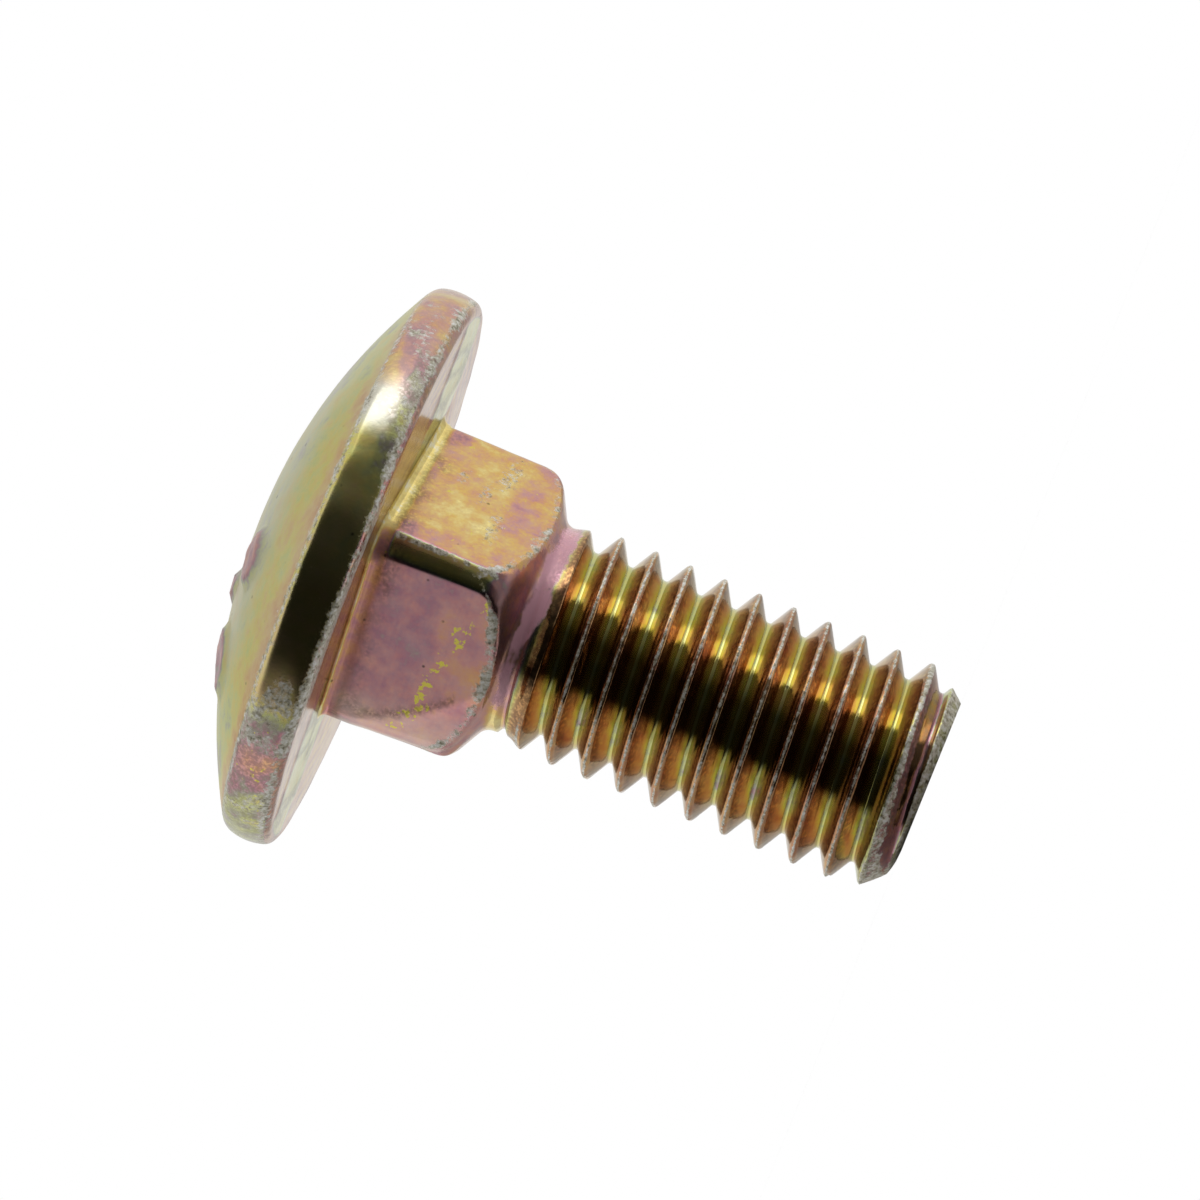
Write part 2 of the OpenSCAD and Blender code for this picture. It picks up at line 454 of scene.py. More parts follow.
def add_shaft(s, last, neck):
    """Adds the neck, run-out and thread, as one lattice whose rows follow the helix to the end."""
    turns = neck_angles() / 360
    columns, rows = len(turns), len(PITCH_ROWS)
    first = CREST_DEPTH + PITCH * (THREAD_PHASE - SEAM) / 360
    first -= PITCH * math.floor((first - FIRST_DEPTH + PITCH / 2) / PITCH)

    def depth_of(k, turn):
        whole, row = divmod(k + CREST_ROW, rows)
        return first + PITCH * (whole + PITCH_ROWS[row] - 1 + turn)

    k0 = total = 0
    while depth_of(k0, 0) < FILLET_R + 0.15:
        k0 += 1
    while depth_of(total, 0) < LENGTH + PITCH + 0.05:
        total += 1
    depths = np.array([[depth_of(k, t) for t in turns] for k in range(k0, total + 1)])
    # The row nearest to the flat end's edge is set on it.
    depths[np.abs(depths - LENGTH) < np.gradient(depths, axis=0) * 0.5] = LENGTH
    grid = [s.add(shaft_points(neck, row), SHAFT) for row in depths]
    upper = [last]
    for t in (0.25, 0.5, 0.75):
        upper.append(s.add(shaft_points(neck, FILLET_R * (1 - t) + depths[0] * t), SHAFT))
    upper.append(grid[0])
    for a, b in zip(upper[:-1], upper[1:]):
        for j in range(columns - 1):
            s.face(a[j], a[j + 1], b[j + 1], b[j])
    # The seam, where a row's end meets the start of one a whole turn down.
    left = [ring[-1] for ring in upper]
    right = [ring[0] for ring in upper] + [grid[k][0] for k in range(1, rows + 1)]
    points = np.vstack(s.points)
    i = j = 0
    while i < len(left) - 1 or j < len(right) - 1:
        go_left = j == len(right) - 1 or (
            i < len(left) - 1 and points[left[i + 1]][2] > points[right[j + 1]][2])
        if go_left:
            s.face(left[i], right[j], left[i + 1])
            i += 1
        else:
            s.face(left[i], right[j], right[j + 1])
            j += 1
    radius = np.hypot(points[:, 0], points[:, 1])
    for k in range(len(grid) - 1):
        for j in range(columns):
            if j < columns - 1:
                corners = (grid[k][j], grid[k][j + 1], grid[k + 1][j + 1], grid[k + 1][j])
            elif k + rows + 1 < len(grid):
                corners = (grid[k][j], grid[k + rows][0], grid[k + rows + 1][0], grid[k + 1][j])
            else:
                continue
            # Quads that have run into the axis are left out.
            if max(radius[v] for v in corners) > 1e-6:
                s.face(*corners)


def build_surface():
    s = Surface()
    fine = np.radians(SEAM - np.arange(HEAD_COLUMNS) * 360 / HEAD_COLUMNS)
    neck = np.radians(SEAM - neck_angles())
    last = add_head(s, fine)
    last = add_seat(s, last, fine, neck)
    add_shaft(s, last, neck)
    return np.vstack(s.points), np.concatenate(s.parts), s.faces


# Shape that forging and rolling left, on top of the drawn form
def on_pads(near, up):
    """1 on the pads, 0 off them, and smooth at their edges."""
    best = np.zeros(len(up))
    for toward, image_up, long, wide, turn in PADS:
        t = math.radians(turn)
        a = (near - toward) * math.sin(t) + (up - image_up) * math.cos(t)
        b = (near - toward) * math.cos(t) - (up - image_up) * math.sin(t)
        best = np.maximum(best, fall(np.sqrt((a / long) ** 2 + (b / wide) ** 2), 0.75, 1.1))
    return best


def wrinkles(near, up):
    """Height of the folds in the bearing face, from 0 in the lines between them up to 1."""
    place = np.column_stack([up / 0.75 + 0.25 * near, near / 3.0, 0 * up])
    return np.abs(noise(place, 1, 8))


def crease_side(x, z):
    """How far a point of the -Y flat lies past its crease."""
    (x1, z1), (x2, z2) = CREASE_FROM, CREASE_TO
    side = ((x - x1) * (z2 - z1) - (z - z1) * (x2 - x1)) / math.hypot(x2 - x1, z2 - z1)
    return side - CREASE_BOW * np.sin(np.clip((z - z1) / (z2 - z1), 0, 1) * math.pi)


def roughen(points, parts):
    p = points.copy()
    head = np.isin(parts, [DOME, RIM, UNDER_EDGE])
    centre = np.append(HEAD_OFFSET, 0)
    up, near = (p - centre) @ IMAGE_UP, (p - centre) @ TO_CAMERA
    out = p[:, :2] - HEAD_OFFSET
    radius = np.hypot(out[:, 0], out[:, 1])
    out = out / np.maximum(radius, 1e-6)[:, None]

    dome = parts == DOME
    lift = 0.018 * noise(p, 2.2, 3) + 0.008 * noise(p, 0.7, 4)
    lift += (PAD_HEIGHT + 0.05 * noise(p, 0.5, 14)) * on_pads(near, up)
    p[:, 2] += np.where(dome, lift * ease(9.6 - radius, 0, 1.5), 0)

    rim = np.isin(parts, [RIM, UNDER_EDGE])
    dent = 0.02 * noise(p, 1.6, 5) + 0.012 * noise(p, 0.6, 6)
    p[:, :2] += np.where(rim, dent, 0)[:, None] * out
    p[:, 2] += np.where(rim, 0.012 * noise(p, 0.9, 7), 0)

    seat = parts == SEAT
    folds = (wrinkles(near, up) - 0.4) * 0.12 * within(near, -1.7, -0.9, 2.8, 3.6)
    p[:, 2] += np.where(seat, folds * within(radius, 5.0, 6.4, 9.0, 9.43), 0)

    shaft = parts == SHAFT
    r_axis = np.hypot(p[:, 0], p[:, 1])
    away = p[:, :2] / np.maximum(r_axis, 1e-6)[:, None]
    z = p[:, 2]
    on_neck = shaft & (z > THREAD_FROM)
    # Past the soft crease on the -Y flat, the flat leans inwards.
    lean = np.maximum(crease_side(p[:, 0], z), 0)
    lean = 0.12 * lean * ease(lean, 0, 0.5) * ease(-p[:, 1], 3.2, 3.8) * ease(-z, 0.8, 1.8)
    p[:, 1] += np.where(on_neck, lean, 0)
    waves = 0.010 * noise(p, 1.8, 9) + 0.004 * noise(p, 0.5, 10)
    on_thread = shaft & (z < THREAD_FROM) & (z > -LENGTH + 0.01)
    tall = ease(r_axis, 3.7, 3.9)
    jitter = 0.02 * noise(p, 0.22, 11) + 0.015 * noise(p, 0.6, 12)
    move = (np.where(on_neck, waves * ease(-z, 0.35, 0.8), 0)
            + np.where(on_thread, jitter * tall - 0.01 * tall, 0))
    end = shaft & (z < -LENGTH + 0.5) & (z > -LENGTH + 0.001)
    move += np.where(end, 0.03 * noise(p, 0.4, 13), 0)
    p[:, :2] += away * move[:, None]

    tilt = np.where(head, 1.0, np.where(seat, ease(radius, 5.5, 9.4), 0))
    nod = np.where(dome, ease(radius, 6.5, 9.5), tilt)
    p[:, 2] += HEAD_TILT * up * tilt + HEAD_NOD * near * nod
    return p


# Looks of the plating at each vertex
ATTRIBUTES = ("film", "pale", "wear", "fleck", "gloss", "grime", "mottle", "bloom")


class Paint:
    """Film is the film's thickness as a number along the ramp of colours. The others say how
    pale, worn, flecked and rough the plating is, where dirt and painted shade darken it to
    brown, how mottled it is, and where a pink band lies on it that is partly bloom and partly
    a painted reflection."""

    def __init__(self, points, parts):
        centre = np.append(HEAD_OFFSET, 0)
        self.points, self.parts = points, parts
        self.up, self.near = (points - centre) @ IMAGE_UP, (points - centre) @ TO_CAMERA
        self.radius = np.hypot(*(points[:, :2] - HEAD_OFFSET).T)
        self.x, self.y, self.z = points.T
        self.r_axis = np.hypot(self.x, self.y)
        self.angle = np.arctan2(self.y, self.x)
        self.slow = noise(points, 3.0, 21)
        self.quick = noise(points, 1.0, 22)
        self.small = noise(points, 0.45, 23)
        for name in ATTRIBUTES:
            setattr(self, name, np.zeros(len(points)))
        self.mottle[:] = 0.9
        self.gloss[:] = 0.18

    def put(self, where, **values):
        """Sets attributes at the vertices that where marks."""
        for name, value in values.items():
            getattr(self, name)[where] = value if np.isscalar(value) else value[where]

    def at_least(self, where, **values):
        """Raises attributes to values where they are lower, at the vertices that where marks."""
        for name, value in values.items():
            own = getattr(self, name)
            own[where] = np.maximum(own, value)[where]


def paint_dome(p):
    """Pale in the middle, straw to yellow further out, pinkish at the rim, green low down."""
    up, radius, quick = p.up, p.radius, p.quick
    ring = ease(radius, 6.2, 8.2)
    film = 0.76 + 0.09 * ring + 0.20 * ease(radius, 8.6, 9.5) + 0.07 * p.slow + 0.07 * quick
    film -= 0.10 * ease(-up, 4.0, 7.0) * fall(radius, 8.8, 9.5)
    film -= 0.07 * ease(up, 4.0, 7.5)
    film += 0.064 * quick * ease(-p.near, -7.5, -5.0) + 0.05 * p.small
    pads = on_pads(p.near, up)
    edge = 4 * pads * (1 - pads)
    film = blend(film, 0.50 + 0.05 * quick, pads) + 0.25 * edge * (0.5 + 0.5 * quick)
    pale = (0.52 - 0.38 * ring + 0.06 * ease(radius, 8.8, 9.6) + 0.16 * ease(up, 3.5, 8)
            - 0.22 * ease(-up, 3.0, 6.0) + 0.12 * p.slow)
    p.put(p.parts == DOME, film=film, pale=pale * (1 - 0.8 * pads), gloss=0.37 - 0.06 * ring)


def paint_rim(p):
    """Yellow under the strip, pink and orange above it, mauve and grey-green below it."""
    rim = np.isin(p.parts, [RIM, UNDER_EDGE])
    up, z, slow, quick, small = p.up, p.z, p.slow, p.quick, p.small
    # The colours above and below fade away round the back.
    front = ease(p.near, -5.0, 1.0)
    above, below = ease(up, 4.4, 5.6) * front, ease(-up, 4.8, 6.2) * front
    film = 0.85 + 0.09 * ease(-up, 0, 4) + 0.03 * slow
    film += (0.16 * slow + 0.08 * quick) * (1 - front)
    film = blend(film, 0.40 + 0.12 * quick + 0.14 * small, above)
    film = blend(film, 0.48 + 0.20 * ease(-up, 7.0, 8.6) + 0.12 * quick + 0.10 * small, below)
    streak = within(up, 5.0, 6.0, 7.8, 8.8) * fall(np.abs(z - 1.15 - 0.2 * quick), 0.08, 0.30)
    film += 0.13 * streak * front
    smudge = within(up, 2.4, 3.6, 6.4, 7.8) * fall(z + 0.15 * small, 0.72, 1.00) * front
    film = blend(film, 0.68 + 0.14 * small, smudge)
    film = np.where(z < 0.16, 0.45 + 0.06 * quick, film)
    blotch = within(up, 4.0, 4.8, 5.6, 6.6) * ease(z, 0.5, 0.9)
    pale = 0.10 + 0.20 * above + 0.10 * below + 0.75 * blotch * ease(p.near, 0, 3) + 0.15 * slow
    p.put(rim, film=film, pale=pale, grime=0.42 * below + 0.12 * above + 0.35 * smudge,
          fleck=0.6 * below + 0.3 * above, mottle=0.8, gloss=0.21)

    # Worn along the edge between dome and rim.
    line = np.clip(1 - np.abs(z - 1.72) / 0.22, 0, 1)
    p.put(np.isin(p.parts, [DOME, RIM]) & (p.radius > 9.0),
          wear=np.minimum(0.62 * line + 0.25 * quick * line, 1))
    # The worn line round the foot of the rim climbs towards the two ends of the near side.
    middle = 0.05 + 0.20 * ease(np.abs(up + 1.1), 2.0, 7.0)
    line = np.clip(1.1 - np.abs(z - middle) / 0.30, 0, 1)
    p.at_least(rim, wear=(0.70 + 0.35 * quick) * line)
    p.at_least(rim, wear=(0.16 + 0.40 * quick + 0.3 * small) * ease(np.abs(up), 5.2, 8.0))
    # One silver patch below the strip, and one up the foot of the rim above it.
    start = 4.3 - 0.9 * fall(np.abs(z - 0.85), 0.15, 0.60) + 0.3 * small
    patch = ease(-up - start, 0.0, 0.8) * fall(-up, 6.4, 7.6)
    p.at_least(rim, wear=(0.24 + 0.45 * small + 0.30 * quick) * patch)
    patch = within(up, 4.6, 5.6, 7.2, 8.2) * fall(np.abs(z - 0.42), 0.15, 0.40)
    p.at_least(rim, wear=(0.55 + 0.4 * small) * patch)


def paint_seat(p):
    """Pink on the near side and the far side, wrinkled and whitish green between them."""
    up, near, radius, quick = p.up, p.near, p.radius, p.quick
    between = within(near, -1.4, -0.7, 2.6, 3.3)
    far = ease(-near, 1.0, 2.0)
    film = 0.40 + 0.05 * quick + 0.40 * between + 0.10 * np.sin(radius * 9) * (1 - between)
    pale = 0.04 + 0.26 * far * ease(-up, -2, 4) + 0.16 * between + 0.1 * quick
    grime = (0.85 * between * fall(wrinkles(near, up), 0.02, 0.16)
             + (0.12 + 0.25 * ease(np.abs(up), 4.0, 5.0)) * ease(near, 2.6, 3.3)
             + 0.30 * far * ease(up, -2, 4))
    worn_edge = fall(UNDER_X - radius, 0.6, 2.4) * fall(np.abs(up + 1.1), 2.5, 6.0)
    worn_edge = worn_edge * ease(near, 0, 4)
    wear = np.maximum(0.25 * between * ease(radius, 7.2, 8.6), 0.75 * worn_edge)
    p.put(p.parts == SEAT, film=film, pale=pale, grime=grime, wear=wear)


def paint_shaft(p):
    """Each flat came out of the bath in a colour of its own, and so did the run-out and thread.
    A highlight beside the fillet, part of the pink band round the run-out's foot, and shade
    along the crests and the crease are painted in.
    """
    x, y, z, up, small, quick = p.x, p.y, p.z, p.up, p.small, p.quick
    shaft, fillet = p.parts == SHAFT, p.parts == FILLET
    # The flats, in the order -Y, +X, +Y, -X.
    sides = [ease(d, ON_FLAT, 3.9) for d in (-y, x, y, -x)]
    weight = sum(sides)
    total = np.maximum(weight, 1e-6)
    flats = sum(f * side for f, side in zip((0.52, 0.22, 0.36, 0.46), sides)) / total
    flats_pale = sum(f * side for f, side in zip((0.08, 0.12, 0.20, 0.15), sides)) / total
    corner = ease(np.minimum(np.abs(x), np.abs(y)), 3.30, 3.55)
    # The near corner is olive, the others only a little thicker in film than the flats beside them.
    olive = ease(x - y, 4.0, 6.0)
    beside = np.where(weight > 0, flats + 0.08 + 0.05 * quick, 0.52)
    corner_film = 0.84 * olive + beside * (1 - olive)
    film = blend(np.where(weight > 0, flats, corner_film), corner_film, corner) + 0.04 * p.slow
    pale = np.where(weight > 0, flats_pale, 0.1) * (1 - corner) + 0.05 * corner
    # The -Y flat is tan towards the run-out, and paler on its low side.
    film -= (0.10 + 0.08 * quick) * sides[0] * ease(-z, 2.4, 3.4) * ease(x, -2.4, 0.2)
    low = sides[0] * ease(-x, 1.6, 3.0)
    film, pale = film - 0.06 * low, pale + 0.25 * low
    # The +X flat is golden in its middle, and pink and darker along its borders.
    border = sides[1] * np.maximum(ease(np.abs(y), 2.1, 3.1), ease(-z, 3.0, 3.8))
    film += (0.14 + 0.08 * quick) * border
    by_fillet = (sides[0] + sides[1]) * ease(z, -1.5, -0.7)
    film += 0.10 * by_fillet * sides[1]

    runout = 0.47 + 0.05 * p.slow - 0.32 * ease(-up, 2.3, 3.0) * ease(-z, 5.2, 5.5)
    to_runout = ease(square_reach(p.angle) - runout_reach(z), -0.05, 0.12) * (z < -3)
    film, pale = blend(film, runout, to_runout), blend(pale, 0.15, to_runout)

    # The thread's flanks are reddish, its roots green, and the last groove is pink on one side.
    depth = np.clip((CREST_R - p.r_axis) / THREAD_DEPTH, 0, 1)
    thread = 1.19 - 0.10 * ease(depth, 0.15, 0.8) - 0.27 * ease(depth, 0.80, 0.98) + 0.06 * p.slow
    thread -= 0.12 * ease(depth, 0.8, 0.98) * ease(-up, 0.8, 2.2)
    q = grooves_down(z, p.angle)
    past_root = (q - np.round(q)) * PITCH
    thread = blend(thread, 0.48 + 0.27 * ease(past_root, -0.02, 0.12), ease(-z, 18.45, 18.65))
    on_thread = ease(-z, 5.75, 6.2)
    film, pale = blend(film, thread, on_thread), blend(pale, 0.05, on_thread)

    # Beside the fillet the near flats are bright yellow on one side, partly a painted
    # highlight, and pink on the other.
    by_head = ease(z, -0.55, -0.42)
    film = blend(film, 0.06 + 0.26 * sides[0], by_head)
    mottle = (0.9 - 0.4 * sides[0] + 0.2 * sides[1]) * (1 - 0.7 * by_head)
    p.put(shaft, film=film, pale=pale * (1 - by_head), mottle=mottle,
          grime=0.35 * by_fillet * (0.6 + 0.9 * small))
    # The fillet is painted bright pale yellow as a highlight, pink low on the -Y side, and dark
    # brown as shade in a thin line along the bearing face.
    p.put(fillet, film=0.07 + 0.37 * ease(-z, 0.06, 0.12) * ease(-y, 3.2, 3.9),
          grime=0.25 * ease(z, -0.03, -0.005))
    # Painted shade: the thread's flanks are darkened brown just below each crest.
    p.at_least(shaft, grime=0.6 * on_thread * within(depth, 0.0, 0.1, 0.2, 0.7))
    # Painted shade: a dark brown line along the crease on the -Y flat.
    crease = fall(np.abs(crease_side(x, z)), 0.03, 0.24)
    p.at_least(shaft & (y < -ON_FLAT) & (z > -4.2) & (z < -1.2), grime=0.55 * crease)
    streak = sides[0] * within(z, -1.15, -0.95, -0.80, -0.65) * (0.5 + 0.7 * small)
    p.at_least(shaft, grime=0.55 * streak)

    # The run-out is duller by the near corner, and so are that corner and its fillet.
    p.put(shaft & (z < -5.9), gloss=0.11)
    near_corner = corner * ease(y, -3.75, -3.6) * (x > 0) * (y < 0) * (z > -4.8)
    duller = 0.13 * to_runout * ease(x - y, 2.5, 5.0) * (1 - on_thread)
    p.put(shaft, gloss=p.gloss + 0.2 * near_corner + duller)
    corner_fillet = ease(z, -0.62, -0.40) * ease(x - y, 6.9, 7.2)
    p.put(fillet | shaft, gloss=blend(p.gloss, 0.42, corner_fillet))
    # A pink band lies round the foot of the run-out, stronger towards the camera: partly bloom
    # and partly a painted reflection.
    foot_end = 5.72 + 0.28 * ease(up, -1.0, 1.5) + 0.1 * small
    foot = ease(-z, 5.22 + 0.12 * small, 5.44 + 0.12 * small)
    foot = foot * ease(z, -foot_end - 0.12, -foot_end + 0.12)
    strength = 0.25 + 0.60 * ease(p.near, -1.0, 2.0) + 0.5 * quick
    p.put(shaft, bloom=foot * strength * fall(-up, 2.2, 3.0))
    wear_shaft(p, shaft, sides[1], q)


def wear_shaft(p, shaft, on_x_flat, q):
    """Worn: the crests, the ends of the flats, and the rolled end."""
    x, y, z, small = p.x, p.y, p.z, p.small
    from_crest = (0.5 - np.abs(q - np.round(q))) * PITCH
    crests = np.clip(1.35 - from_crest / 0.055, 0, 1) * ease(p.r_axis, 3.78, 3.88)
    p.put(shaft, wear=crests * (0.85 + 0.3 * small))
    # The worn band at the flats' ends follows the edge of the run-out.
    levels = np.linspace(-5.8, -3.5, 60)
    past_edge = z - np.interp(square_reach(p.angle), runout_reach(levels), levels)
    band = within(past_edge, -0.08, 0.04, 0.15, 0.62 + 0.2 * p.quick)
    p.put(shaft & (z > -5.5), wear=band * (0.58 + 0.35 * p.quick + 0.35 * small))
    bead = np.clip(1.3 - np.abs(y + 3.5) / 0.1, 0, 1) * ease(x, ON_FLAT, 3.8)
    bead = bead * ease(-z, 0.3, 0.6) * ease(z, -4.6, -4.0)
    p.at_least(shaft, wear=(0.75 + 0.6 * noise(p.points, 0.2, 24)) * bead)
    rolled = ease(p.r_axis - end_reach(z, p.angle), -0.10, -0.02)
    p.at_least(shaft & (z < -LENGTH + 1.7), wear=(0.75 + 0.3 * small) * rolled)
    p.put(shaft & (z < -LENGTH + 0.10), wear=0.8)
    for along, down, long, wide in SCRATCHES:
        hit = fall(np.sqrt(((y - along) / long) ** 2 + ((z + down) / wide) ** 2), 0.2, 1.4)
        p.at_least(shaft, wear=0.48 * hit * on_x_flat)

    # Yellow flecks lie along one line on the -Y flat, and all over the +X flat.
    best = np.full(len(x), 9.0)
    for (ax, az), (bx, bz) in zip(FLECK_LINE[:-1], FLECK_LINE[1:]):
        t = ((x - ax) * (bx - ax) + (z - az) * (bz - az)) / ((bx - ax) ** 2 + (bz - az) ** 2)
        t = np.clip(t, 0, 1)
        best = np.minimum(best, np.hypot(x - ax - t * (bx - ax), z - az - t * (bz - az)))
    p.put(shaft & (y < -ON_FLAT) & (z > -5.2), fleck=fall(best, 0.05, 0.75))
    p.put(shaft & (x > ON_FLAT) & (z > -5.2), fleck=0.5)


def make_mesh():
    points, parts, faces = build_surface()
    paint = Paint(points, parts)
    paint_dome(paint)
    paint_rim(paint)
    paint_seat(paint)
    paint_shaft(paint)
    points = roughen(points, parts)
    mesh = bpy.data.meshes.new("bolt_plated")
    mesh.from_pydata((points * MM).tolist(), [], faces)
    mesh.polygons.foreach_set("use_smooth", [True] * len(mesh.polygons))
    for name in ATTRIBUTES:
        attribute = mesh.attributes.new(name, "FLOAT", "POINT")
        attribute.data.foreach_set("value", getattr(paint, name))
    mesh.validate()
    mesh.update()
    bolt = bpy.data.objects.new("bolt_plated", mesh)
    bpy.context.scene.collection.objects.link(bolt)
    return bolt


# Materials, light and camera
def linear(r, g, b):
    """An sRGB colour, 0 to 255, as Blender's linear one."""
    return tuple((c / 255 / 12.92 if c <= 10 else ((c / 255 + 0.055) / 1.055) ** 2.4)
                 for c in (r, g, b)) + (1,)


class Nodes:
    """Short ways to add and join shader nodes."""

    def __init__(self, tree):
        self.tree = tree
        tree.nodes.clear()

    def add(self, kind, **inputs):
        node = self.tree.nodes.new(kind)
        for name, value in inputs.items():
            self.feed(node, name.replace("_", " "), value)
        return node

    def feed(self, node, key, value):
        """Links or sets an input, which is named or numbered."""
        socket = node.inputs[key]
        if isinstance(value, bpy.types.NodeSocket):
            self.tree.links.new(value, socket)
        else:
            socket.default_value = value

    def math(self, operation, a, b=0.0, clamp=False):
        node = self.tree.nodes.new("ShaderNodeMath")
        node.operation = operation
        node.use_clamp = clamp
        self.feed(node, 0, a)
        self.feed(node, 1, b)
        return node.outputs[0]

    def total(self, first, *others):
        for value in others:
            first = self.math("ADD", first, value)
        return first

    def product(self, first, *others):
        for value in others:
            first = self.math("MULTIPLY", first, value)
        return first

    def spread(self, value, amount):
        """A noise between 0 and 1, moved to lie about 0 and multiplied by an amount."""
        return self.math("MULTIPLY", self.math("SUBTRACT", value, 0.5), amount)

    def span(self, value, low, high, to_low=0.0, to_high=1.0):
        node = self.tree.nodes.new("ShaderNodeMapRange")
        node.interpolation_type = "SMOOTHSTEP"
        for i, v in enumerate((value, low, high, to_low, to_high)):
            self.feed(node, i, v)
        return node.outputs[0]

    def vector(self, operation, a, b=None):
        node = self.tree.nodes.new("ShaderNodeVectorMath")
        node.operation = operation
        self.feed(node, 0, a)
        if b is not None:
            self.feed(node, 1, tuple(float(v) for v in b))
        return node.outputs["Value"]

    def noise(self, vector, size, detail=2.0, rough=0.5):
        node = self.add("ShaderNodeTexNoise", Vector=vector, Scale=1 / (size * MM),
                        Detail=detail, Roughness=rough)
        return node.outputs["Fac"]

    def mix(self, factor, a, b):
        node = self.tree.nodes.new("ShaderNodeMix")
        node.data_type = "RGBA"
        for key, value in ((0, factor), (6, a), (7, b)):
            self.feed(node, key, value)
        return node.outputs[2]

    def ramp(self, factor, stops):
        node = self.tree.nodes.new("ShaderNodeValToRGB")
        self.feed(node, "Fac", factor)
        elements = node.color_ramp.elements
        while len(elements) > 1:
            elements.remove(elements[-1])
        elements[0].position, elements[0].color = stops[0][0], linear(*stops[0][1])
        for position, colour in stops[1:]:
            elements.new(position).color = linear(*colour)
        return node.outputs["Color"]

    def finish(self, kind, shader):
        self.feed(self.add(kind), "Surface", shader)

    def pick(self, factor, a, b):
        node = self.add("ShaderNodeMixShader")
        for key, value in enumerate((factor, a.outputs[0], b.outputs[0])):
            self.feed(node, key, value)
        return node.outputs[0]


def plating():
    material = bpy.data.materials.new("zinc_plated_steel")
    material.use_nodes = True
    n = Nodes(material.node_tree)
    place = n.add("ShaderNodeTexCoord").outputs["Object"]
    attribute = {}
    for name in ATTRIBUTES:
        node = n.add("ShaderNodeAttribute")
        node.attribute_name = name
        attribute[name] = node.outputs["Fac"]
    # Noises, named by what they make, in lumps from 2.4 mm wide down to 0.13 mm.
    broad = n.noise(place, 2.4)
    middle = n.noise(place, 0.55, 3.0, 0.6)
    fine = n.noise(place, 0.13, 3.0, 0.6)
    other = n.noise(place, 0.8, 2.0, 0.55)
    grit = n.noise(place, 0.17, 3.0, 0.7)
    bits = n.noise(place, 0.26, 2.0, 0.6)
    # Streaks that run across the bolt.
    lying = n.add("ShaderNodeMapping", Vector=place)
    lying.inputs["Rotation"].default_value = (0, 0, -VIEW_AZIMUTH)
    lying.inputs["Scale"].default_value = (0.1, 1, 1)
    streaks = n.noise(lying.outputs[0], 0.16, 2.0, 0.6)

    mottled = n.total(n.spread(broad, 0.30), n.spread(middle, 0.50), n.spread(fine, 0.16))
    film = n.total(attribute["film"], n.product(mottled, attribute["mottle"]),
                   n.product(n.spread(streaks, 0.12), attribute["mottle"]))
    colour = n.ramp(n.product(film, FILM_SCALE), [(FILM_SCALE * at, tone) for at, tone in FILM])
    pale = n.math("ADD", attribute["pale"], n.total(n.spread(other, 0.35), n.spread(fine, 0.2)),
                  clamp=True)
    colour = n.mix(pale, colour, linear(*PALE))
    flecks = n.spread(n.noise(place, 0.36, 3.0, 0.65), 1.5)
    flecks = n.total(n.product(attribute["fleck"], 0.45), flecks)
    colour = n.mix(n.span(flecks, 0.46, 0.56, 0.0, 0.85), colour, linear(*YELLOW))
    # Dirt and painted shade turn the colour brown, mottled by fine noise.
    dirt_and_shade_mix = n.math("MULTIPLY", attribute["grime"], n.span(fine, 0.34, 0.56), clamp=True)
    colour = n.mix(dirt_and_shade_mix, colour, linear(*DIRT_AND_SHADE_BROWN))
    # The pink band round the run-out's foot, partly a painted reflection.
    bloom = n.total(attribute["bloom"], n.total(n.spread(fine, 0.5), n.spread(streaks, 0.5)))
    bloom = n.span(bloom, 0.25, 0.75)
    colour = n.mix(n.product(bloom, 0.95), colour, linear(*PINK_BLOOM_AND_REFLECTION))
    wear = n.total(attribute["wear"], n.total(n.spread(bits, 1.0), n.spread(fine, 0.45)))
    wear = n.span(wear, 0.30, 0.80)
    colour = n.mix(wear, colour, n.ramp(grit, GRAIN))
    # Small dark specks, more of them in some places than in others.
    cells = n.add("ShaderNodeTexVoronoi", Vector=place, Scale=1 / (0.75 * MM))
    speck = n.product(n.span(cells.outputs["Distance"], 0.05, 0.11, 1.0, 0.0),
                      n.span(other, 0.5, 0.6))
    colour = n.mix(n.product(speck, 0.75), colour, linear(*SPECK))

    rough = n.total(attribute["gloss"], n.spread(middle, 0.12), n.product(wear, 0.28))
    height = n.total(n.product(fine, n.total(n.product(wear, 0.35), 0.2)),
                     n.product(middle, 0.4))
    bump = n.add("ShaderNodeBump", Height=height, Strength=0.25, Distance=0.03 * MM)
    # Worn metal, the duller places and the pink band, partly a painted reflection, reflect less
    # like metal.
    dull = n.math("MAXIMUM", n.product(wear, 0.7),
                  n.span(attribute["gloss"], 0.28, 0.43, 0.0, 0.75))
    dull = n.math("MAXIMUM", dull, n.product(bloom, 0.95))
    shader = n.add("ShaderNodeBsdfPrincipled", Base_Color=colour, Roughness=rough,
                   Metallic=n.math("SUBTRACT", 1.0, dull), Specular_Tint=linear(*EDGE_TINT),
                   Normal=bump.outputs["Normal"])
    n.finish("ShaderNodeOutputMaterial", shader.outputs[0])
    return material


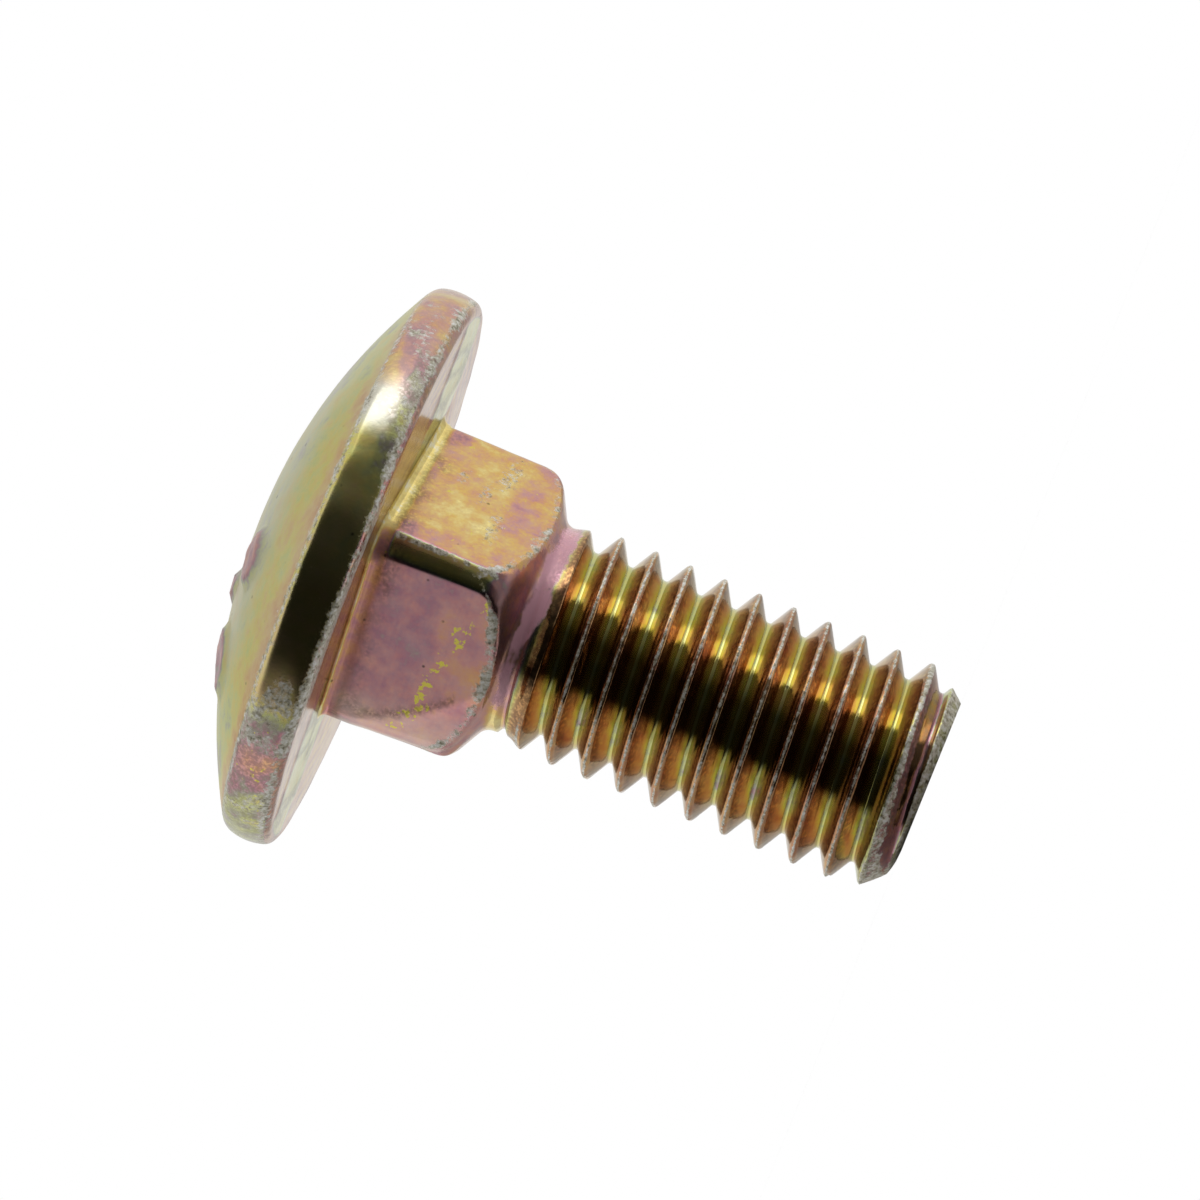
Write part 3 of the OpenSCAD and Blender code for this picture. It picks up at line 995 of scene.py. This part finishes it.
def light_tent():
    """A white tent round the bolt, open and dark towards the camera, with a window in its wall."""
    world = bpy.data.worlds.new("light_tent")
    world.use_nodes = True
    n = Nodes(world.node_tree)
    direction = n.add("ShaderNodeTexCoord").outputs["Generated"]
    # Where a direction points: the angle round from the camera, up in the photograph, and the
    # angle above the floor.
    side = n.math("ARCTAN2", n.vector("DOT_PRODUCT", direction, IMAGE_UP),
                  n.vector("DOT_PRODUCT", direction, TO_CAMERA))
    height = n.math("ARCSINE", n.vector("DOT_PRODUCT", direction, (0, 0, 1)))

    def span(value, low, high, to_low=0.0, to_high=1.0):
        """As the nodes' own span, from an angle in degrees to another."""
        return n.span(value, low * DEGREE, high * DEGREE, to_low, to_high)

    # The opening reaches a little further round on one side, high up and low down.
    edge = n.total(side, n.total(span(height, 12, 50, 0.0, 12 * DEGREE),
                                 span(height, -40, -2, 20 * DEGREE, 0.0)))
    opening = n.product(span(side, 51, 58, 1.0, 0.0), span(edge, -67, -47),
                        span(height, 74, 86, 1.0, 0.0))
    window = n.product(span(side, 54, 60), span(side, 76, 86, 1.0, 0.0), span(height, -8, 2),
                       span(height, 44, 56, 1.0, 0.0))
    # The wall is dimmer on one side of the opening, and the far wall is brightest low down.
    dim = n.product(span(side, -90, -74), span(side, -20, 0, 1.0, 0.0))
    far = span(n.math("ABSOLUTE", side), 110, 150)
    level = n.total(0.9, n.product(far, span(height, 20, 45, 0.1, -0.14)))
    level = n.math("SUBTRACT", level, n.product(dim, 0.38))
    shut = n.math("SUBTRACT", 0.98, n.product(span(side, 8, 52), 0.16))
    level = n.product(level, n.math("SUBTRACT", 1.0, n.product(opening, shut)))
    level = n.total(level, n.product(window, 1.2))
    light = n.add("ShaderNodeBackground", Strength=level, Color=(1, 1, 1, 1))
    shown = n.add("ShaderNodeBackground", Strength=1.0, Color=(1, 1, 1, 1))
    path = n.add("ShaderNodeLightPath")
    n.finish("ShaderNodeOutputWorld", n.pick(path.outputs["Is Camera Ray"], light, shown))
    bpy.context.scene.world = world


def add_floor():
    """A pale round floor that fades out at its edge."""
    ring = [(FLOOR_R * math.cos(a) * MM, FLOOR_R * math.sin(a) * MM, -(LENGTH + 0.001) * MM)
            for a in np.linspace(0, 2 * math.pi, FLOOR_STEPS, endpoint=False)]
    mesh = bpy.data.meshes.new("floor")
    mesh.from_pydata(ring, [], [tuple(range(FLOOR_STEPS))])
    floor = bpy.data.objects.new("floor", mesh)
    bpy.context.scene.collection.objects.link(floor)
    material = bpy.data.materials.new("pale_floor")
    material.use_nodes = True
    n = Nodes(material.node_tree)
    place = n.add("ShaderNodeTexCoord").outputs["Object"]
    from_middle = n.vector("LENGTH", place)
    to_front = n.vector("DOT_PRODUCT", place, TO_CAMERA)
    unseen = n.math("SUBTRACT", 1.0, n.add("ShaderNodeLightPath").outputs["Is Camera Ray"])
    ended = n.product(n.span(to_front, *(d * MM for d in FLOOR_FRONT)), unseen)
    open_floor = n.math("MAXIMUM", ended, n.span(from_middle, *(d * MM for d in FLOOR_FADE)))
    shader = n.add("ShaderNodeBsdfPrincipled", Roughness=0.9, Base_Color=linear(*FLOOR),
                   Specular_IOR_Level=0.1)
    clear = n.add("ShaderNodeBsdfTransparent")
    n.finish("ShaderNodeOutputMaterial", n.pick(open_floor, shader, clear))
    floor.data.materials.append(material)


def add_camera():
    """The bolt stands head up. The camera lies on its side, so that the shank runs down to the
    right."""
    tilt = math.atan2(END_RIGHT, END_AWAY)
    level_back = Vector(TO_CAMERA)
    axis_up = Vector(IMAGE_UP)
    down = Vector((0, 0, -1))
    back = level_back * math.cos(tilt) + down * math.sin(tilt)
    along = down * math.cos(tilt) - level_back * math.sin(tilt)
    place = down * LENGTH - along * END_RIGHT - axis_up * END_UP + back * END_AWAY
    right = along * math.cos(AXIS_SLOPE) + axis_up * math.sin(AXIS_SLOPE)
    up = axis_up * math.cos(AXIS_SLOPE) - along * math.sin(AXIS_SLOPE)
    data = bpy.data.cameras.new("camera")
    data.sensor_width = SENSOR
    data.lens = SENSOR * FOCAL_PIXELS / PHOTO_PIXELS
    data.clip_start = 0.005
    data.clip_end = 20
    camera = bpy.data.objects.new("camera", data)
    bpy.context.scene.collection.objects.link(camera)
    turn = Matrix((right, up, back)).transposed().to_4x4()
    camera.matrix_world = Matrix.Translation(place * MM) @ turn
    bpy.context.scene.camera = camera


add_camera()
light_tent()
add_floor()
bpy.context.scene.view_settings.view_transform = "Standard"
bolt = make_mesh()
bolt.data.materials.append(plating())
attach(bolt, "root")
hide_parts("bolt")
